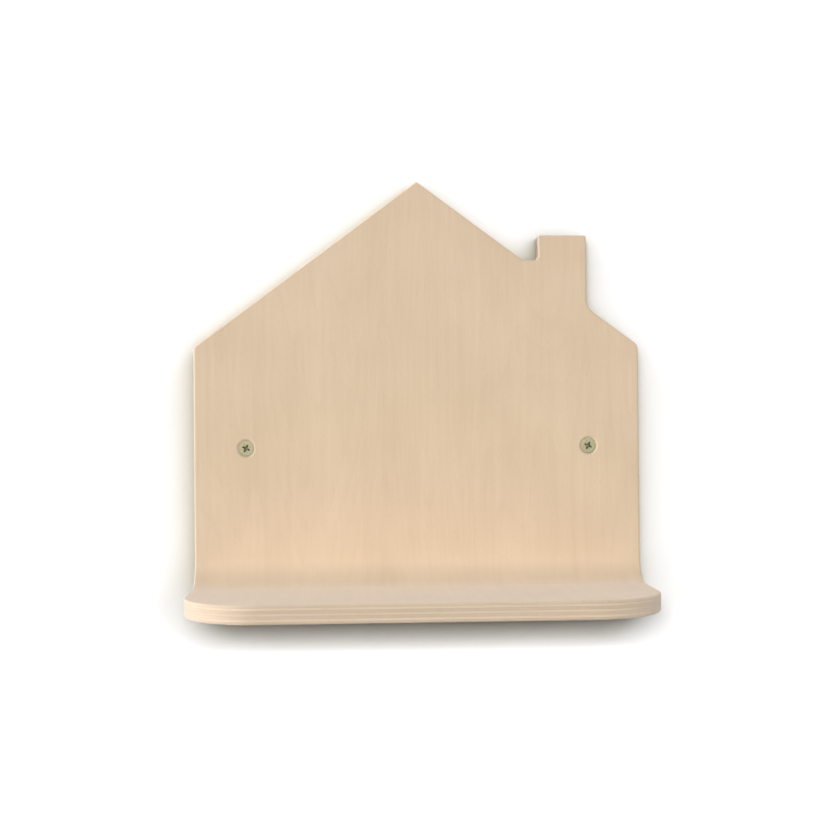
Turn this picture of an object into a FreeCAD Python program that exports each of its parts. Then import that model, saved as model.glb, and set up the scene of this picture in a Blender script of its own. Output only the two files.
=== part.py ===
"""House-shaped wall shelf, pressed from seven veneers and held to the wall by two screws.

The board is one bent sheet of plywood: a house-shaped panel against the wall, a tight bend,
and a shelf that comes forward at the foot of the house.

Millimetres. +X is to the right as one faces the shelf, +Y goes into the wall, +Z is up.
The origin lies on the wall, midway between the two screws.
"""

import FreeCAD
import Part

import math
import os

from FreeCAD import Vector

# Lay-up of the board, from the veneer that faces the room to the one that lies on the wall
PLY_NAMES = (
    "face_veneer",
    "cross_ply_front",
    "long_ply_front",
    "cross_ply_centre",
    "long_ply_back",
    "cross_ply_back",
    "back_veneer",
)
PLY_THICKNESS = 1.57

# Bent board
HOUSE_WIDTH = 280.0
BEND_RADIUS = 17.0
SHELF_REACH = 108.0
SHELF_CORNER_RADIUS = 43.0
EDGE_ROUNDING = 1.2

# House outline: the eaves stand above the top of the shelf, the ridge above the eaves
EAVES_HEIGHT = 148.9
ROOF_RISE = 103.7
EAVES_RADIUS = 5.0
RIDGE_RADIUS = 1.5

# Chimney: it stands in from the right-hand wall, and rises above the level floor of the notch
# that is cut into the roof beside it
CHIMNEY_WIDTH = 30.7
CHIMNEY_INSET = 32.5
CHIMNEY_RISE = 15.7
CHIMNEY_CORNER_RADIUS = 1.5
CHIMNEY_FOOT_RADIUS = 9.0
NOTCH_WIDTH = 9.5
NOTCH_RADIUS = 3.0

# Screw holes: in from the sides of the house, above the top of the shelf
SCREW_INSET = 32.25
SCREW_HEIGHT = 85.4
COUNTERSINK_DIAMETER = 12.0
COUNTERSINK_ANGLE = 90.0
HOLE_CLEARANCE = 0.4

# Countersunk chipboard screws with a plain shank under the head and a cross recess
SCREW_DIAMETER = 5.0
SCREW_LENGTH = 40.0
THREAD_LENGTH = 24.0
TIP_LENGTH = 5.0
SHANK_DIAMETER = 3.7
HEAD_DIAMETER = 9.7
HEAD_RIM = 0.35
SEAT_CLEARANCE = 0.05
RECESS_SPAN = 4.9
RECESS_WING = 1.1
RECESS_DEPTH = 2.8
RECESS_BOTTOM_SPAN = 2.2
RECESS_BOTTOM_WING = 0.8
RECESS_TURN = 26.0

# Places that follow from the sizes above
board_thickness = len(PLY_NAMES) * PLY_THICKNESS
half_width = HOUSE_WIDTH / 2
shelf_top = -SCREW_HEIGHT
eaves = shelf_top + EAVES_HEIGHT
ridge = eaves + ROOF_RISE
panel_face = -board_thickness
bend_axis_y = panel_face - BEND_RADIUS
bend_axis_z = shelf_top + BEND_RADIUS
screw_offset = half_width - SCREW_INSET
screw_places = {"left_wall_screw": -screw_offset, "right_wall_screw": screw_offset}
cone_slope = math.tan(math.radians(COUNTERSINK_ANGLE / 2))

# A cutter runs one board thickness past what it cuts
overrun = board_thickness

# Limits on roundings: a share of the shorter side beside a corner, and of the corner's own radius
SIDE_SHARE = 0.45
CORNER_SHARE = 0.8


def rounded_outline(corners):
    """Closed wire through (point, radius) corners, each rounded by an arc unless its radius is 0."""
    roundings = []
    for index, (corner, radius) in enumerate(corners):
        before = corners[index - 1][0] - corner
        after = corners[(index + 1) % len(corners)][0] - corner
        shorter_side = min(before.Length, after.Length)
        half_angle = before.getAngle(after) / 2
        before.normalize()
        after.normalize()
        tangent = min(radius / math.tan(half_angle), SIDE_SHARE * shorter_side)
        radius = tangent * math.tan(half_angle)
        bisector = (before + after).normalize()
        middle = corner + bisector * (radius / math.sin(half_angle) - radius)
        roundings.append((corner + before * tangent, middle, corner + after * tangent))

    edges = []
    for index, (start, middle, end) in enumerate(roundings):
        if start.distanceToPoint(end) > 0:
            edges.append(Part.Arc(start, middle, end).toShape())
        next_start = roundings[(index + 1) % len(roundings)][0]
        edges.append(Part.makeLine(end, next_start))
    return Part.Wire(edges)


def roof_height(x):
    """Height of the roof line at a distance from the ridge."""
    return ridge - ROOF_RISE * abs(x) / half_width


def house_prism():
    """House silhouette, run through the whole depth of the shelf."""
    front = -SHELF_REACH - overrun
    foot = shelf_top - board_thickness - overrun
    chimney_outer = half_width - CHIMNEY_INSET
    chimney_inner = chimney_outer - CHIMNEY_WIDTH
    notch_start = chimney_inner - NOTCH_WIDTH
    notch_floor = roof_height(notch_start)
    chimney_top = notch_floor + CHIMNEY_RISE
    corners = [
        (Vector(-half_width, front, foot), 0),
        (Vector(-half_width, front, eaves), EAVES_RADIUS),
        (Vector(0, front, ridge), RIDGE_RADIUS),
        (Vector(notch_start, front, notch_floor), 0),
        (Vector(chimney_inner, front, notch_floor), NOTCH_RADIUS),
        (Vector(chimney_inner, front, chimney_top), CHIMNEY_CORNER_RADIUS),
        (Vector(chimney_outer, front, chimney_top), CHIMNEY_CORNER_RADIUS),
        (Vector(chimney_outer, front, roof_height(chimney_outer)), CHIMNEY_FOOT_RADIUS),
        (Vector(half_width, front, eaves), EAVES_RADIUS),
        (Vector(half_width, front, foot), 0),
    ]
    depth = overrun - front
    return Part.Face(rounded_outline(corners)).extrude(Vector(0, depth, 0))


def shelf_prism():
    """Shelf plan with its round front corners, run through the whole height of the house."""
    foot = shelf_top - board_thickness - overrun
    corners = [
        (Vector(-half_width, overrun, foot), 0),
        (Vector(-half_width, -SHELF_REACH, foot), SHELF_CORNER_RADIUS),
        (Vector(half_width, -SHELF_REACH, foot), SHELF_CORNER_RADIUS),
        (Vector(half_width, overrun, foot), 0),
    ]
    height = ridge + overrun - foot
    return Part.Face(rounded_outline(corners)).extrude(Vector(0, 0, height))


def bend_point(radius, degrees):
    """Point on an arc about the bend's axis: 0 degrees is at the panel, 90 at the shelf."""
    angle = math.radians(degrees)
    return Vector(
        -half_width - overrun,
        bend_axis_y + radius * math.cos(angle),
        bend_axis_z - radius * math.sin(angle),
    )


def bent_sheet(front_depth, back_depth):
    """Bent sheet between two depths below the face that shows, larger all round than the board."""
    inner = BEND_RADIUS + front_depth
    outer = BEND_RADIUS + back_depth
    up = Vector(0, 0, ridge + overrun - bend_axis_z)
    forward = Vector(0, -SHELF_REACH - overrun - bend_axis_y, 0)
    profile = Part.Wire([
        Part.makeLine(bend_point(inner, 0) + up, bend_point(inner, 0)),
        Part.Arc(bend_point(inner, 0), bend_point(inner, 45), bend_point(inner, 90)).toShape(),
        Part.makeLine(bend_point(inner, 90), bend_point(inner, 90) + forward),
        Part.makeLine(bend_point(inner, 90) + forward, bend_point(outer, 90) + forward),
        Part.makeLine(bend_point(outer, 90) + forward, bend_point(outer, 90)),
        Part.Arc(bend_point(outer, 90), bend_point(outer, 45), bend_point(outer, 0)).toShape(),
        Part.makeLine(bend_point(outer, 0), bend_point(outer, 0) + up),
        Part.makeLine(bend_point(outer, 0) + up, bend_point(inner, 0) + up),
    ])
    return Part.Face(profile).extrude(Vector(HOUSE_WIDTH + 2 * overrun, 0, 0))


def depth_in_board(point):
    """Depth of a point below the face that shows, measured square to the bent sheet."""
    behind_axis = max(point.y - bend_axis_y, 0)
    below_axis = max(bend_axis_z - point.z, 0)
    return math.hypot(behind_axis, below_axis) - BEND_RADIUS


def is_skin(face):
    """Whether a face of the board is part of its front or back skin, and not of its cut edge."""
    depths = [depth_in_board(vertex.Point) for vertex in face.Vertexes]
    return max(depths) - min(depths) < board_thickness / 2


def rim_edges(board):
    """Edges where the front or back skin of the board meets its cut edge."""
    rims = []
    for edge in board.Edges:
        skins = [is_skin(face) for face in board.ancestorsOfType(edge, Part.Face)]
        if skins.count(True) == 1:
            rims.append(edge)
    return rims


def turned(profile, x):
    """Solid turned about an axis into the wall at x, from a profile of (radius, y) points."""
    points = [Vector(radius, y, 0) for radius, y in profile]
    face = Part.Face(Part.makePolygon(points + points[:1]))
    solid = face.revolve(Vector(0, 0, 0), Vector(0, 1, 0), 360)
    solid.translate(Vector(x, 0, 0))
    return solid


def countersunk_hole(x):
    """Cutter for one screw hole: a cone at the face that shows and a plain bore behind it."""
    mouth = COUNTERSINK_DIAMETER / 2
    bore = SCREW_DIAMETER / 2 + HOLE_CLEARANCE
    return turned([
        (0, panel_face - overrun),
        (mouth + overrun * cone_slope, panel_face - overrun),
        (bore, panel_face + (mouth - bore) / cone_slope),
        (bore, overrun),
        (0, overrun),
    ], x)


def pressed_board():
    """Whole board: bent, cut to its outline, rounded along its edges and drilled."""
    board = bent_sheet(0, board_thickness).common(house_prism()).common(shelf_prism())
    board = board.removeSplitter()
    tightest_corner = min(EAVES_RADIUS, RIDGE_RADIUS, CHIMNEY_CORNER_RADIUS)
    rounding = min(EDGE_ROUNDING, CORNER_SHARE * tightest_corner)
    board = board.makeFillet(rounding, rim_edges(board))
    for x in screw_places.values():
        board = board.cut(countersunk_hole(x))
    return board


def ply(board, index):
    """One veneer of the board, counted from the face that shows."""
    front_depth = index * PLY_THICKNESS
    back_depth = front_depth + PLY_THICKNESS
    if index == 0:
        front_depth -= BEND_RADIUS / 2
    if index == len(PLY_NAMES) - 1:
        back_depth += overrun
    return board.common(bent_sheet(front_depth, back_depth)).removeSplitter()


def driver_recess(head_top):
    """Cross recess for the driver: two tapered slots at right angles."""
    top_x = RECESS_SPAN / 2
    top_z = RECESS_WING / 2
    bottom_x = RECESS_BOTTOM_SPAN / 2
    bottom_z = RECESS_BOTTOM_WING / 2
    bottom_y = head_top + RECESS_DEPTH
    slot = Part.makeWedge(
        -top_x, head_top, -top_z, -bottom_z, -bottom_x, top_x, bottom_y, top_z, bottom_z, bottom_x
    )
    axis = (Vector(0, 0, 0), Vector(0, 1, 0))
    crossing_slot = slot.copy()
    crossing_slot.rotate(*axis, 90)
    recess = slot.fuse(crossing_slot)
    recess.rotate(*axis, RECESS_TURN)
    return recess


def wall_screw(x):
    """Countersunk screw whose head seats in the cone of its hole."""
    head = HEAD_DIAMETER / 2
    shank = SHANK_DIAMETER / 2
    thread = SCREW_DIAMETER / 2
    half_angle = math.radians(COUNTERSINK_ANGLE / 2)
    seat_depth = (COUNTERSINK_DIAMETER - HEAD_DIAMETER) / 2 / cone_slope
    cone_start = panel_face + seat_depth - SEAT_CLEARANCE / math.sin(half_angle)
    head_top = cone_start - HEAD_RIM
    tip = head_top + SCREW_LENGTH
    screw = turned([
        (0, head_top),
        (head, head_top),
        (head, cone_start),
        (shank, cone_start + (head - shank) / cone_slope),
        (shank, tip - THREAD_LENGTH),
        (thread, tip - THREAD_LENGTH),
        (thread, tip - TIP_LENGTH),
        (0, tip),
    ], x)
    recess = driver_recess(head_top)
    recess.translate(Vector(x, 0, 0))
    return screw.cut(recess)


def save(name, shape):
    """Write one piece, which has to be a single sound solid."""
    solid = shape.Solids[0]
    print(f"{name}: solids {len(shape.Solids)}, valid {solid.isValid()}, {solid.Volume:.0f} mm3")
    solid.exportStep(os.path.join("parts", f"{name}.step"))


def main():
    os.makedirs("parts", exist_ok=True)
    board = pressed_board()
    for index, name in enumerate(PLY_NAMES):
        save(name, ply(board, index))
    for name, x in screw_places.items():
        save(name, wall_screw(x))


main()
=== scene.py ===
"""Looks of the house-shaped wall shelf: pale bent plywood, yellow zinc screws, a white wall and soft light.

Metres, in the part's own frame: +X to the right as one faces the shelf, +Y into the wall, +Z up.
The origin lies on the wall, midway between the two screws.
"""

import math

import bmesh
import bpy
from mathutils import Matrix, Vector


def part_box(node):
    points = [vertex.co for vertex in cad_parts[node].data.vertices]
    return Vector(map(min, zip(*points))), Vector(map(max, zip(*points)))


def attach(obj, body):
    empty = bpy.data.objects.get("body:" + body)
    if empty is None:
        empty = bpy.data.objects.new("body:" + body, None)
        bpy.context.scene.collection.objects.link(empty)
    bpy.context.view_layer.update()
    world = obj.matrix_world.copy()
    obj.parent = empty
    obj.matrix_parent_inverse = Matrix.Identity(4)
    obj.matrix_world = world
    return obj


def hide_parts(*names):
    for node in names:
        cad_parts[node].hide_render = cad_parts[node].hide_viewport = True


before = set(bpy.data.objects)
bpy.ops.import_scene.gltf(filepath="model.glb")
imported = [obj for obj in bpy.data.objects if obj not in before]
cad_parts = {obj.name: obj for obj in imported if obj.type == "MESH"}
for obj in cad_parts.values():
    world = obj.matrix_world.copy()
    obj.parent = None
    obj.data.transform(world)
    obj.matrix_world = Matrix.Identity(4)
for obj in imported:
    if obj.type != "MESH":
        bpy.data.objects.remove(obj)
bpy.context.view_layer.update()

MM = 0.001
QUARTER_TURN = math.pi / 2
FULL_TURN = 2 * math.pi
WHITE = (1.0, 1.0, 1.0, 1.0)

# Camera of the photograph: its fitted place, turn, tilt and roll, and its focal length in pixels
PHOTO_WIDTH = 840
FOCAL_PIXELS = 1350.0
SENSOR_WIDTH = 36.0
CAMERA_PLACE = Vector((-0.0392, -0.8589, 0.01305))
CAMERA_YAW = math.radians(2.736)
CAMERA_TILT_UP = math.radians(0.265)
CAMERA_ROLL = math.radians(-0.489)

# Lay-up of the board from the face to the back: which way each veneer's grain runs, and its tone as a
# share of the wood's own
LONG, CROSS = "long", "cross"
VENEERS = {
    "face_veneer": (LONG, 1.0),
    "cross_ply_front": (CROSS, 1.02),
    "long_ply_front": (LONG, 0.97),
    "cross_ply_centre": (CROSS, 1.0),
    "long_ply_back": (LONG, 0.99),
    "cross_ply_back": (CROSS, 1.03),
    "back_veneer": (LONG, 0.98),
}
BEND_RADIUS = 17.0 * MM

# Wood colours as they look in plain light, and the tints of cut edges, end grain, flecks and glue
WOOD_LIGHT = (232, 208, 178)
WOOD_DARK = (216, 190, 159)
CUT_TINT = (1.0, 1.02, 1.06, 1.0)
END_GRAIN_TINT = (0.91, 0.905, 0.91, 1.0)
FLECK_TINT = (0.90, 0.85, 0.79, 1.0)
GLUE_TINT = (0.80, 0.76, 0.70, 1.0)

# Streaks in the wood: the width and the run of each kind in millimetres, an offset that keeps its noise
# apart from the others, and the noise's settings. Each veneer has a further offset of its own.
STREAKS = {
    "fibres": (0.55, 26.0, 0.0, {"detail": 3.0, "roughness": 0.6}),
    "bands": (5.0, 140.0, 20.0, {"detail": 3.0, "roughness": 0.55}),
    "hills": (38.0, 320.0, 40.0, {"detail": 1.0, "distortion": 0.25}),
    "blotches": (40.0, 60.0, 60.0, {"detail": 2.0}),
    "specks": (0.42, 3.4, 80.0, {"detail": 1.0}),
}
VENEER_OFFSET = 7.3

# How far each kind of streak sways the colour between the dark and the light wood
NOISE_MEAN = 0.5
FIBRE_SWAY = 0.6
BAND_SWAY = 0.6
BLOTCH_SWAY = 0.9
GROWTH_SWAY = 0.12

# Growth lines: how many lie between the lowest and the highest hill, and their mean strength
GROWTH_LINES = 16.0
GROWTH_MEAN = 0.25

# Flecks: the strength of a speck at which they start and are full, and how strongly they tint the wood
FLECK_START, FLECK_FULL = 0.63, 0.72
FLECK_STRENGTH = 0.55

# End grain: what is left of the fibres on it, and the share of end grain at which no more is left
END_GRAIN_FIBRES = 0.2
END_GRAIN_FULL = 0.5

# Glue lines, in veneers: half their width, and how far below either face they start and are full
GLUE_HALF_WIDTH = 0.10
GLUE_START, GLUE_FULL = 0.6, 0.8

# Relief of the grain, and the matt clear finish
FIBRE_RELIEF = 0.6
BAND_RELIEF = 0.4
FLECK_RELIEF = -0.5
WOOD_BUMP = {"Strength": 0.5, "Distance": 0.03 * MM}
WOOD_ROUGHNESS = 0.66
FIBRE_ROUGHNESS = 0.16
END_GRAIN_ROUGHNESS = 0.08
WOOD_FINISH = {"Specular IOR Level": 0.4, "Sheen Weight": 0.36, "Sheen Roughness": 0.7}

# Yellow zinc on the screws: two tints in clouds, with a fine grit, both scaled to the millimetre
ZINC_GOLD = (149, 141, 112)
ZINC_GREEN = (142, 141, 118)
ZINC_CLOUDS = {"scale": 0.6, "detail": 3.0}
CLOUD_START, CLOUD_FULL = 0.35, 0.65
ZINC_GRIT = {"scale": 9.0, "detail": 2.0}
ZINC_BUMP = {"Strength": 0.35, "Distance": 0.02 * MM}
ZINC_ROUGHNESS = 0.6
GRIT_ROUGHNESS = 0.1

# Screws: the plain shank, the thread and the tip, which swells faster than a cone and ends in a point
SCREWS = ("left_wall_screw", "right_wall_screw")
SHANK_RADIUS = 1.85 * MM
THREAD_RADIUS = 2.5 * MM
THREAD_CORE_RADIUS = 1.6 * MM
THREAD_LENGTH = 24.0 * MM
THREAD_PITCH = 2.5 * MM
TIP_LENGTH = 5.0 * MM
TIP_SWELL = 0.8
POINT_LENGTH = 0.12 * MM

# One pitch of the thread, as shares of the pitch and of the thread's height
THREAD_PROFILE = ((0.0, 0.0), (0.34, 0.0), (0.62, 0.0), (0.78, 1.0), (0.82, 1.0), (0.98, 0.0))

# Screw head: its rim with the place of the rounding's middle point, and the blend into the shank
HEAD_RIM = 0.35 * MM
RIM_ROUNDING = 0.12 * MM
RIM_MIDDLE = 0.3 * RIM_ROUNDING
NECK_BLEND = 2 * RIM_ROUNDING

# Cross recess: across its wings, a wing's width and across its core, at the mouth and at the bottom
RECESS_SPAN = 4.9 * MM
RECESS_WING = 1.1 * MM
RECESS_CORE = 2.3 * MM
RECESS_BOTTOM_SPAN = 2.2 * MM
RECESS_BOTTOM_WING = 0.8 * MM
RECESS_BOTTOM_CORE = 1.2 * MM
RECESS_DEPTH = 2.8 * MM
RECESS_LIP = 0.08 * MM
RECESS_TURN = math.radians(26.0)

# Points on an eighth of the recess: shares of the way along half a wing's tip, its side and half the
# core's side
WING_TIP_SHARES = (0.0, 0.35, 0.7, 1.0)
WING_SIDE_SHARES = (0.25, 0.5, 0.75, 1.0)
CORE_SIDE_SHARES = (0.45, 0.82, 1.0)

# Four marks on the head, midway between the wings: their depth, how far from the axis they end, and
# their run as shares of the way out from the recess and of the depth there
MARK_DEPTH = 0.12 * MM
MARK_END = 3.3 * MM
MARK_RUN = ((0.2, 0.0), (0.27, 1.0), (0.93, 1.0), (1.0, 0.0))
MARK_ANGLE_SLACK = 0.001

# Meshes: points nearer than the first are one, and edges sharper than the second stay sharp
WELD_DISTANCE = 0.0005 * MM
SHARP_ANGLE = math.radians(32)

# Stage: the wall that the shelf hangs on, and a floor far below it
WALL_PLACE = -0.3 * MM
WALL_HALF_WIDTH = 3.0
WALL_TOP = 2.4
FLOOR_HEIGHT = -1.1
FLOOR_REACH = 5.0

# Paint on them, as it is seen and for the light that it throws back
WALL_SEEN = (1.22, 1.22, 1.22, 1.0)
WALL_BOUNCE = (0.7, 0.7, 0.7, 1.0)
FLOOR_SEEN = (0.9, 0.9, 0.9, 1.0)
FLOOR_BOUNCE = (0.2, 0.2, 0.2, 1.0)

# Painted shade on the wall's seen paint where the board stands on it, laid over the lamps' own shadows: its
# colour, how far off a thing still shades the wall, how quickly the shade deepens, and the lean of the light
# away from straight ahead
WALL_PAINTED_SHADE = (0.20, 0.17, 0.06, 1.0)
NOOK_REACH = 40 * MM
NOOK_DEPTH = 1.7
NOOK_LEAN = (0.2, 0.0, 0.5)
NOOK_SAMPLES = 16

# Light, as shares of the light that makes a white wall look white. A softbox has its azimuth to the
# right and its elevation in degrees, as seen from the shelf, and its width and height in metres.
SOFTBOXES = {
    "front_softbox": {"azimuth": -5, "elevation": 11.8, "width": 2.2, "height": 0.9, "share": 0.76},
    "right_softbox": {"azimuth": 50, "elevation": 12.5, "width": 3.2, "height": 0.72, "share": 0.07},
    "side_softbox": {"azimuth": -86, "elevation": 5, "width": 0.8, "height": 2.8, "share": 0.86},
    "top_softbox": {"azimuth": -50, "elevation": 80, "width": 1.6, "height": 1.6, "share": 0.085},
}
LAMP_DISTANCE = 5.0
REAR_LIGHT = 0.9
REAR_FADE = 0.1

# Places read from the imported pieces
face_low, face_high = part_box("face_veneer")
ply_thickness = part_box("cross_ply_front")[1].y - face_high.y
board_thickness = len(VENEERS) * ply_thickness
shelf_top = face_low.z + ply_thickness
bend_axis_y = -board_thickness - BEND_RADIUS
bend_axis_z = shelf_top + BEND_RADIUS
bend_middle_radius = BEND_RADIUS + board_thickness / 2


def linear(colour, tone=1.0):
    """Linear values of a screen colour from 0 to 255, by the sRGB curve, made darker or lighter by a tone."""
    shares = [value / 255 for value in colour]
    curve = [s / 12.92 if s <= 0.04045 else ((s + 0.055) / 1.055) ** 2.4 for s in shares]
    return [value * tone for value in curve] + [1.0]


def ease(value):
    """Smooth step from 0 to 1."""
    value = min(max(value, 0.0), 1.0)
    return value * value * (3 - 2 * value)


class Shader:
    """Adds nodes to a shader tree and joins them up. Most calls give an output to join further."""

    def __init__(self, owner):
        owner.use_nodes = True
        self.tree = owner.node_tree
        self.tree.nodes.clear()

    def plug(self, socket, value):
        """Join a socket to another node's output, or set it to a plain value."""
        if isinstance(value, bpy.types.NodeSocket):
            self.tree.links.new(value, socket)
        else:
            socket.default_value = value

    def node(self, kind, inputs=None, **settings):
        """Add a node with its settings and its inputs, by name or number. Gives the node itself."""
        node = self.tree.nodes.new(kind)
        for name, value in settings.items():
            setattr(node, name, value)
        for name, value in (inputs or {}).items():
            self.plug(node.inputs[name], value)
        return node

    def math(self, operation, *values):
        """Result of an operation on plain values or outputs."""
        node = self.node("ShaderNodeMath", operation=operation)
        for socket, value in zip(node.inputs, values):
            self.plug(socket, value)
        return node.outputs[0]

    def total(self, *values):
        """Sum of several values."""
        result = values[0]
        for value in values[1:]:
            result = self.math("ADD", result, value)
        return result

    def times(self, *values):
        """Product of several values."""
        result = values[0]
        for value in values[1:]:
            result = self.math("MULTIPLY", result, value)
        return result

    def spread(self, value, low, high, to_low=0.0, to_high=1.0):
        """A value from low to high becomes one from to_low to to_high, and stays within them."""
        inputs = {"Value": value, "From Min": low, "From Max": high, "To Min": to_low, "To Max": to_high}
        return self.node("ShaderNodeMapRange", inputs).outputs["Result"]

    def vector(self, x, y, z):
        """Vector of three values."""
        return self.node("ShaderNodeCombineXYZ", {"X": x, "Y": y, "Z": z}).outputs["Vector"]

    def parts(self, vector):
        """The three parts of a vector, by the names X, Y and Z."""
        return self.node("ShaderNodeSeparateXYZ", {"Vector": vector}).outputs

    def vector_math(self, operation, inputs):
        """Vector that an operation on vectors gives."""
        return self.node("ShaderNodeVectorMath", inputs, operation=operation).outputs["Vector"]

    def noise(self, place, scale=1.0, detail=2.0, roughness=0.5, distortion=0.0):
        """Cloudy noise from 0 to 1."""
        inputs = {"Vector": place, "Scale": scale, "Detail": detail}
        inputs.update({"Roughness": roughness, "Distortion": distortion})
        return self.node("ShaderNodeTexNoise", inputs).outputs["Fac"]

    def blend(self, share, first, second, mode="MIX"):
        """Colour that goes from the first to the second with the share."""
        node = self.node("ShaderNodeMix", data_type="RGBA", blend_type=mode)
        colour_inputs = [socket for socket in node.inputs if socket.type == "RGBA"]
        self.plug(node.inputs["Factor"], share)
        self.plug(colour_inputs[0], first)
        self.plug(colour_inputs[1], second)
        return next(socket for socket in node.outputs if socket.type == "RGBA")

    def tinted(self, colour, share, tint):
        """Colour times a tint, as far as the share goes."""
        return self.blend(share, colour, tint, "MULTIPLY")

    def bump(self, height, setting):
        """Normal of a surface with a fine relief."""
        return self.node("ShaderNodeBump", {"Height": height, **setting}).outputs["Normal"]

    def seen_directly(self):
        """1 for what the camera sees, straight or in a mirror or glass, and 0 for light that only bounces."""
        path = self.node("ShaderNodeLightPath").outputs
        seen = self.math("MAXIMUM", path["Is Camera Ray"], path["Is Glossy Ray"])
        return self.math("MAXIMUM", seen, path["Is Transmission Ray"])

    def paint(self, seen, bounce):
        """Plain paint with one shade for what is seen and another for the light that it throws back."""
        colour = self.blend(self.seen_directly(), bounce, seen)
        return self.node("ShaderNodeBsdfDiffuse", {"Color": colour}).outputs["BSDF"]

    def principled(self, inputs):
        """Surface of wood or metal."""
        return self.node("ShaderNodeBsdfPrincipled", inputs).outputs["BSDF"]

    def mix(self, share, first, second):
        """Surface that goes from the first to the second with the share."""
        return self.node("ShaderNodeMixShader", {0: share, 1: first, 2: second}).outputs[0]

    def finish(self, surface, kind="Material"):
        """Use a surface for the whole material, or for the world."""
        self.node(f"ShaderNodeOutput{kind}", {"Surface": surface})


def new_material(name):
    """A material, and the shader that fills its tree."""
    material = bpy.data.materials.new(name)
    return material, Shader(material)


def veneer_space(shader):
    """Places in the flat veneer, before it was bent, in millimetres, and which way its surface faces.

    Gives the places across the house, along it from the ridge to the front of the shelf and below
    the face, then the squares of the normal's parts along those three directions.
    """
    place = shader.parts(shader.node("ShaderNodeTexCoord").outputs["Object"])
    facing = shader.parts(shader.node("ShaderNodeNewGeometry").outputs["Normal"])

    from_axis = shader.math("SUBTRACT", place["Y"], bend_axis_y)
    above_axis = shader.math("SUBTRACT", place["Z"], bend_axis_z)
    behind = shader.math("MAXIMUM", from_axis, 0.0)
    below = shader.math("MAXIMUM", shader.math("MULTIPLY", above_axis, -1.0), 0.0)
    radius = shader.math("SQRT", shader.total(shader.times(behind, behind), shader.times(below, below)))
    angle = shader.math("ARCTAN2", below, behind)
    cosine = shader.math("DIVIDE", behind, radius)
    sine = shader.math("DIVIDE", below, radius)

    up = shader.math("MAXIMUM", above_axis, 0.0)
    forward = shader.math("MINIMUM", from_axis, 0.0)
    around = shader.math("MULTIPLY", angle, -bend_middle_radius)
    across = shader.math("DIVIDE", place["X"], MM)
    along = shader.math("DIVIDE", shader.total(up, forward, around), MM)
    depth = shader.math("DIVIDE", shader.math("SUBTRACT", radius, BEND_RADIUS), MM)

    facing_along = shader.math("SUBTRACT", shader.times(facing["Z"], cosine), shader.times(facing["Y"], sine))
    facing_out = shader.math("SUBTRACT", shader.times(facing["Y"], cosine), shader.times(facing["Z"], sine))
    squares = [shader.times(part, part) for part in (facing["X"], facing_along, facing_out)]
    return (across, along, depth), squares


def wood_figure(shader, side, length, depth, seed):
    """Noise of each kind of streak, drawn out along the grain."""
    figure = {}
    for kind, (width, run, offset, settings) in STREAKS.items():
        place = shader.vector(
            shader.math("DIVIDE", side, width),
            shader.math("DIVIDE", length, run),
            shader.math("ADD", shader.math("DIVIDE", depth, width), seed + offset),
        )
        figure[kind] = shader.noise(place, **settings)
    return figure


def wood_colour(shader, figure, flecks, fibre_share, tone):
    """Colour on the face of a veneer, between the dark and the light wood, with its flecks."""
    # Growth lines are the contours of a slow field, as a peeled log shows them
    contour = shader.math("FRACT", shader.math("MULTIPLY", figure["hills"], GROWTH_LINES))
    growth_line = shader.times(contour, contour, contour)
    share = shader.total(
        NOISE_MEAN,
        shader.times(shader.math("SUBTRACT", figure["fibres"], NOISE_MEAN), fibre_share, FIBRE_SWAY),
        shader.times(shader.math("SUBTRACT", figure["bands"], NOISE_MEAN), BAND_SWAY),
        shader.times(shader.math("SUBTRACT", figure["blotches"], NOISE_MEAN), BLOTCH_SWAY),
        shader.times(shader.math("SUBTRACT", GROWTH_MEAN, growth_line), GROWTH_SWAY),
    )
    colour = shader.blend(shader.spread(share, 0.0, 1.0), linear(WOOD_DARK, tone), linear(WOOD_LIGHT, tone))
    return shader.tinted(colour, shader.times(flecks, fibre_share, FLECK_STRENGTH), FLECK_TINT)


def glue_lines(shader, depth):
    """1 in the fine joints between the veneers and 0 elsewhere, the faces of the board included."""
    layer = shader.math("DIVIDE", depth, ply_thickness / MM)
    to_joint = shader.math("PINGPONG", layer, 0.5)
    line = shader.spread(to_joint, 0.0, GLUE_HALF_WIDTH, 1.0, 0.0)
    below_face = shader.spread(layer, GLUE_START, GLUE_FULL)
    above_back = shader.spread(layer, len(VENEERS) - GLUE_FULL, len(VENEERS) - GLUE_START, 1.0, 0.0)
    return shader.times(line, below_face, above_back)


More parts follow.
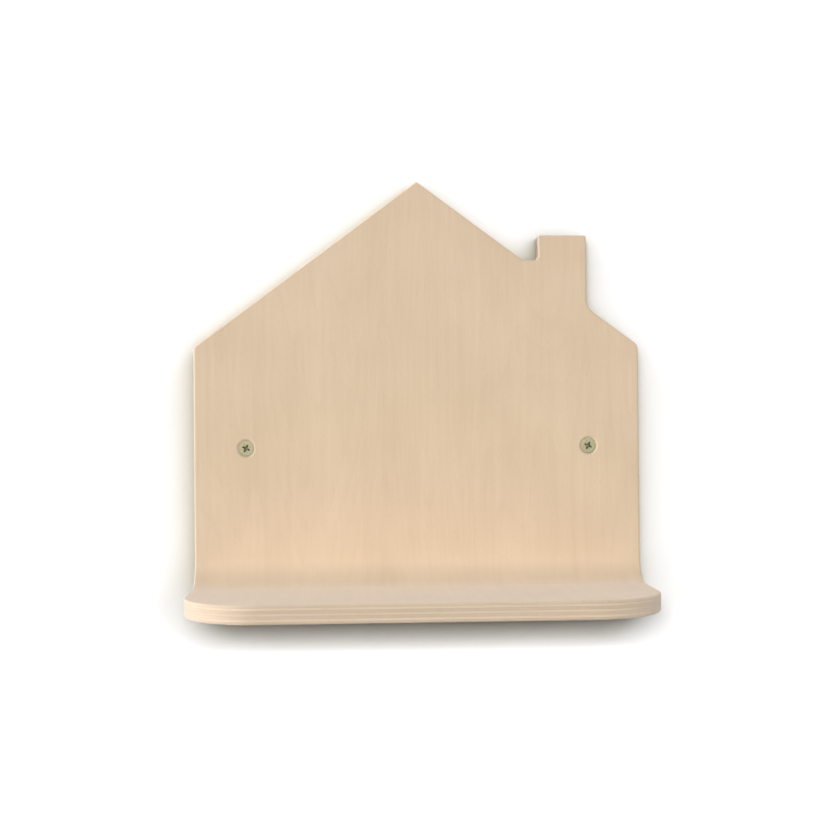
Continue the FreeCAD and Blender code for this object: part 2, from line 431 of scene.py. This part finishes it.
def veneer_material(name, grain, tone, seed):
    """Pale beech veneer with fibres, short dark flecks and soft figure, darker on its end grain."""
    material, shader = new_material(f"{name}_wood")
    (across, along, depth), (faces_across, faces_along, faces_out) = veneer_space(shader)
    if grain == LONG:
        side, length, end_grain = across, along, faces_along
    else:
        side, length, end_grain = along, across, faces_across
    cut_edge = shader.math("SUBTRACT", 1.0, faces_out)

    # Cut across, the fibres are fine pores that hardly show
    fibre_share = shader.spread(end_grain, 0.0, END_GRAIN_FULL, 1.0, END_GRAIN_FIBRES)
    figure = wood_figure(shader, side, length, depth, seed)
    flecks = shader.spread(figure["specks"], FLECK_START, FLECK_FULL)

    # Glue shows only where the board is cut
    glue = shader.times(glue_lines(shader, depth), cut_edge)
    colour = wood_colour(shader, figure, flecks, fibre_share, tone)
    for part, tint in ((cut_edge, CUT_TINT), (end_grain, END_GRAIN_TINT), (glue, GLUE_TINT)):
        colour = shader.tinted(colour, part, tint)

    relief = shader.total(
        shader.times(figure["fibres"], FIBRE_RELIEF),
        shader.times(figure["bands"], BAND_RELIEF),
        shader.times(flecks, FLECK_RELIEF),
    )
    roughness = shader.total(
        WOOD_ROUGHNESS,
        shader.times(figure["fibres"], FIBRE_ROUGHNESS),
        shader.times(end_grain, END_GRAIN_ROUGHNESS),
    )
    shader.finish(shader.principled({
        "Base Color": colour,
        "Roughness": roughness,
        "Normal": shader.bump(shader.times(relief, fibre_share), WOOD_BUMP),
        **WOOD_FINISH,
    }))
    return material


def zinc_material():
    """Yellow passivated zinc: a pale greenish gold with cloudy tints and a fine grit."""
    material, shader = new_material("yellow_zinc")
    coordinates = shader.node("ShaderNodeTexCoord").outputs["Object"]
    place = shader.vector_math("SCALE", {0: coordinates, "Scale": 1 / MM})
    clouds = shader.noise(place, **ZINC_CLOUDS)
    grit = shader.noise(place, **ZINC_GRIT)
    green_share = shader.spread(clouds, CLOUD_START, CLOUD_FULL)
    shader.finish(shader.principled({
        "Base Color": shader.blend(green_share, linear(ZINC_GOLD), linear(ZINC_GREEN)),
        "Metallic": 1.0,
        "Roughness": shader.total(ZINC_ROUGHNESS, shader.times(grit, GRIT_ROUGHNESS)),
        "Normal": shader.bump(grit, ZINC_BUMP),
    }))
    return material


def dress_veneers():
    """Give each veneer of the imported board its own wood."""
    for index, (name, (grain, tone)) in enumerate(VENEERS.items()):
        material = veneer_material(name, grain, tone, seed=VENEER_OFFSET * index)
        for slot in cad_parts[name].material_slots:
            slot.material = material


def add_mesh(name, mesh, material):
    """Object of a finished mesh, smooth but for its sharp edges."""
    data = bpy.data.meshes.new(name)
    mesh.to_mesh(data)
    mesh.free()
    data.polygons.foreach_set("use_smooth", [True] * len(data.polygons))
    data.set_sharp_from_angle(angle=SHARP_ANGLE)
    data.materials.append(material)
    piece = bpy.data.objects.new(name, data)
    bpy.context.scene.collection.objects.link(piece)
    return piece


def join(mesh, first, second):
    """Band of faces from one ring of points to the next."""
    for index in range(len(first)):
        after = (index + 1) % len(first)
        mesh.faces.new((first[index], first[after], second[after], second[index]))


def cap(mesh, ring, middle):
    """Fan of faces from a ring of points to its middle."""
    for index in range(len(ring)):
        mesh.faces.new((ring[index], ring[(index + 1) % len(ring)], middle))


def recess_outline(span, wing, core):
    """Closed outline of the cross recess, as points about the screw's axis."""
    reach, half, inner = span / 2, wing / 2, core / 2
    slope = (inner - half) / 2
    eighth = [(reach, half * share) for share in WING_TIP_SHARES]
    eighth += [(reach + (inner - reach) * share, half) for share in WING_SIDE_SHARES]
    eighth += [(inner - slope * share, half + slope * share) for share in CORE_SIDE_SHARES]
    quarter = eighth + [(y, x) for x, y in reversed(eighth[1:-1])]
    outline = []
    for turn in range(4):
        cosine, sine = math.cos(turn * QUARTER_TURN), math.sin(turn * QUARTER_TURN)
        outline += [(x * cosine - y * sine, x * sine + y * cosine) for x, y in quarter]
    return outline


def wall_screw(name, material):
    """Countersunk screw with a cross recess and a running thread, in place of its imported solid."""
    low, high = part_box(name)
    centre_x = (low.x + high.x) / 2
    centre_z = (low.z + high.z) / 2
    head_radius = (high.x - low.x) / 2
    head_top, tip = low.y, high.y
    lip = 2 * RECESS_LIP
    mouth = recess_outline(RECESS_SPAN + lip, RECESS_WING + lip, RECESS_CORE + lip)
    throat = recess_outline(RECESS_SPAN, RECESS_WING, RECESS_CORE)
    bottom = recess_outline(RECESS_BOTTOM_SPAN, RECESS_BOTTOM_WING, RECESS_BOTTOM_CORE)
    angles = [math.atan2(z, x) % FULL_TURN for x, z in mouth]
    mesh = bmesh.new()

    def vertex(x, y, z):
        """Point about the axis, turned with the recess and set in the wall."""
        turned_x = x * math.cos(RECESS_TURN) + z * math.sin(RECESS_TURN)
        turned_z = z * math.cos(RECESS_TURN) - x * math.sin(RECESS_TURN)
        return mesh.verts.new((centre_x + turned_x, y, centre_z + turned_z))

    def cross_ring(outline, y):
        """Ring round the recess."""
        return [vertex(x, y, z) for x, z in outline]

    def round_ring(radius, y):
        """Ring round the axis."""
        return [vertex(radius * math.cos(a), y, radius * math.sin(a)) for a in angles]

    def mark_ring(share, depth):
        """Ring on the flat of the head, sunk where it crosses a mark midway between two wings."""
        ring = []
        for (x, z), angle in zip(mouth, angles):
            out_x = x + (MARK_END * math.cos(angle) - x) * share
            out_z = z + (MARK_END * math.sin(angle) - z) * share
            on_mark = math.isclose(angle % QUARTER_TURN, QUARTER_TURN / 2, abs_tol=MARK_ANGLE_SLACK)
            ring.append(vertex(out_x, head_top + (depth * MARK_DEPTH if on_mark else 0.0), out_z))
        return ring

    # From the bottom of the recess over its lip and the marked flat, round the rim and down the cone
    rings = [
        cross_ring(bottom, head_top + RECESS_DEPTH),
        cross_ring(throat, head_top + RECESS_LIP),
        cross_ring(mouth, head_top),
    ]
    cap(mesh, rings[0], vertex(0, head_top + RECESS_DEPTH + RECESS_BOTTOM_WING / 2, 0))
    rings += [mark_ring(share, depth) for share, depth in MARK_RUN]
    cone_start = head_top + HEAD_RIM
    cone_end = cone_start + head_radius - SHANK_RADIUS
    profile = [
        (head_radius - RIM_ROUNDING, head_top),
        (head_radius - RIM_MIDDLE, head_top + RIM_MIDDLE),
        (head_radius, head_top + RIM_ROUNDING),
        (head_radius, cone_start),
        (SHANK_RADIUS + NECK_BLEND, cone_end - NECK_BLEND),
        (SHANK_RADIUS, cone_end + NECK_BLEND / 2),
        (SHANK_RADIUS, tip - THREAD_LENGTH),
    ]
    rings += [round_ring(radius, y) for radius, y in profile]
    for first, second in zip(rings, rings[1:]):
        join(mesh, first, second)
    thread(mesh, vertex, angles, tip)

    bmesh.ops.remove_doubles(mesh, verts=mesh.verts, dist=WELD_DISTANCE)
    bmesh.ops.recalc_face_normals(mesh, faces=mesh.faces)
    screw = add_mesh(f"{name}_detailed", mesh, material)
    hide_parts(name)
    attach(screw, "root")


def thread(mesh, vertex, angles, tip):
    """Running thread from the end of the shank to the point, with rows that follow the helix."""
    start = tip - THREAD_LENGTH
    end = tip - POINT_LENGTH
    rows_in_turn = len(THREAD_PROFILE)
    turns = math.ceil((end - start) / THREAD_PITCH) + 1

    def radius_at(y, height):
        """Radius at a share of the thread's height: it grows along the first pitch and tapers at the tip."""
        grown = ease((y - start) / THREAD_PITCH)
        core = SHANK_RADIUS + (THREAD_CORE_RADIUS - SHANK_RADIUS) * grown
        crest = core + (THREAD_RADIUS - core) * grown
        taper = min((tip - y) / TIP_LENGTH, 1.0) ** TIP_SWELL
        return (core + (crest - core) * height) * taper

    rows = []
    for turn in range(turns + 1):
        for share, height in THREAD_PROFILE:
            row = []
            for angle in angles:
                y = start + THREAD_PITCH * (turn - 1 + share + angle / FULL_TURN)
                y = min(max(y, start), end)
                radius = radius_at(y, height)
                row.append(vertex(radius * math.cos(angle), y, radius * math.sin(angle)))
            rows.append(row)

    # Where a row has gone once round, it meets the row of the next turn
    last = len(rows) - 1
    for number in range(last):
        for index in range(len(angles)):
            after = (index + 1) % len(angles)
            skip = rows_in_turn if after == 0 else 0
            next_number = min(number + skip, last)
            above_number = min(number + 1 + skip, last)
            corners = (rows[number][index], rows[number + 1][index])
            corners += (rows[above_number][after], rows[next_number][after])
            if len(set(corners)) == 4:
                mesh.faces.new(corners)
    cap(mesh, rows[last], vertex(0, tip, 0))


def wall_material():
    """White wall with painted shade that darkens its paint softly towards the edges that stand on it, and
    isn't seen from behind.
    """
    material, shader = new_material("white_wall")
    surface = shader.node("ShaderNodeNewGeometry").outputs
    leaning = shader.vector_math("ADD", {0: surface["Normal"], 1: NOOK_LEAN})
    light_way = shader.vector_math("NORMALIZE", {0: leaning})
    nook_inputs = {"Distance": NOOK_REACH, "Normal": light_way}
    # Painted shade: ambient occlusion near the board darkens the wall's seen paint towards the shade colour,
    # besides the lamps' real shadows
    openness = shader.node("ShaderNodeAmbientOcclusion", nook_inputs, samples=NOOK_SAMPLES).outputs["AO"]
    painted_light_share = shader.math("POWER", openness, NOOK_DEPTH)
    front = shader.paint(shader.blend(painted_light_share, WALL_PAINTED_SHADE, WALL_SEEN), WALL_BOUNCE)
    back = shader.node("ShaderNodeBsdfTransparent").outputs["BSDF"]
    shader.finish(shader.mix(surface["Backfacing"], front, back))
    return material


def floor_material():
    """Pale plain floor that throws little light back up under the shelf."""
    material, shader = new_material("pale_floor")
    shader.finish(shader.paint(FLOOR_SEEN, FLOOR_BOUNCE))
    return material


def stage_plane(name, corners, material):
    """Flat piece of the stage."""
    mesh = bmesh.new()
    mesh.faces.new([mesh.verts.new(corner) for corner in corners])
    add_mesh(name, mesh, material)


def make_stage():
    """Wall and floor, which meet below the shelf."""
    left, right = -WALL_HALF_WIDTH, WALL_HALF_WIDTH
    wall_corners = [
        (left, WALL_PLACE, FLOOR_HEIGHT), (right, WALL_PLACE, FLOOR_HEIGHT),
        (right, WALL_PLACE, WALL_TOP), (left, WALL_PLACE, WALL_TOP),
    ]
    stage_plane("wall", wall_corners, wall_material())
    floor_corners = [
        (left, -FLOOR_REACH, FLOOR_HEIGHT), (right, -FLOOR_REACH, FLOOR_HEIGHT),
        (right, WALL_PLACE, FLOOR_HEIGHT), (left, WALL_PLACE, FLOOR_HEIGHT),
    ]
    stage_plane("floor", floor_corners, floor_material())


def make_world():
    """Light from behind the wall, none from the room, and a white ground wherever nothing stands."""
    world = bpy.data.worlds.new("studio")
    bpy.context.scene.world = world
    shader = Shader(world)
    direction = shader.node("ShaderNodeTexCoord").outputs["Generated"]
    strength = shader.spread(shader.parts(direction)["Y"], 0.0, REAR_FADE, 0.0, REAR_LIGHT)
    light = shader.node("ShaderNodeBackground", {"Color": WHITE, "Strength": strength}).outputs[0]
    ground = shader.node("ShaderNodeBackground", {"Color": WHITE, "Strength": 1.0}).outputs[0]
    shader.finish(shader.mix(shader.seen_directly(), light, ground), "World")


def softbox(name, azimuth, elevation, width, height, share):
    """Flat lamp aimed at the shelf, bright enough for its share of the light on a surface facing it."""
    turn, rise = math.radians(azimuth), math.radians(elevation)
    direction = Vector((
        math.sin(turn) * math.cos(rise),
        -math.cos(turn) * math.cos(rise),
        math.sin(rise),
    ))
    data = bpy.data.lights.new(name, "AREA")
    data.shape = "RECTANGLE"
    data.size = width
    data.size_y = height
    data.energy = share * math.pi ** 2 * LAMP_DISTANCE ** 2
    lamp = bpy.data.objects.new(name, data)
    lamp.location = direction * LAMP_DISTANCE
    lamp.rotation_mode = "QUATERNION"
    lamp.rotation_quaternion = (-direction).to_track_quat("-Z", "Y")
    bpy.context.scene.collection.objects.link(lamp)


def make_camera():
    """Camera at the place from which the photograph was taken."""
    data = bpy.data.cameras.new("camera")
    data.sensor_width = SENSOR_WIDTH
    data.lens = SENSOR_WIDTH * FOCAL_PIXELS / PHOTO_WIDTH
    ahead = Vector((
        math.sin(CAMERA_YAW) * math.cos(CAMERA_TILT_UP),
        math.cos(CAMERA_YAW) * math.cos(CAMERA_TILT_UP),
        math.sin(CAMERA_TILT_UP),
    ))
    level = Vector((math.cos(CAMERA_YAW), -math.sin(CAMERA_YAW), 0.0))
    upright = level.cross(ahead)
    right = level * math.cos(CAMERA_ROLL) + upright * math.sin(CAMERA_ROLL)
    up = upright * math.cos(CAMERA_ROLL) - level * math.sin(CAMERA_ROLL)
    turn = Matrix((right, up, -ahead)).transposed()
    camera = bpy.data.objects.new("camera", data)
    camera.matrix_world = Matrix.Translation(CAMERA_PLACE) @ turn.to_4x4()
    bpy.context.scene.collection.objects.link(camera)
    bpy.context.scene.camera = camera


dress_veneers()
zinc = zinc_material()
for screw_name in SCREWS:
    wall_screw(screw_name, zinc)
make_stage()
make_world()
for lamp_name, placing in SOFTBOXES.items():
    softbox(lamp_name, **placing)
make_camera()
bpy.context.scene.view_settings.view_transform = "Standard"

bpy.context.view_layer.update()
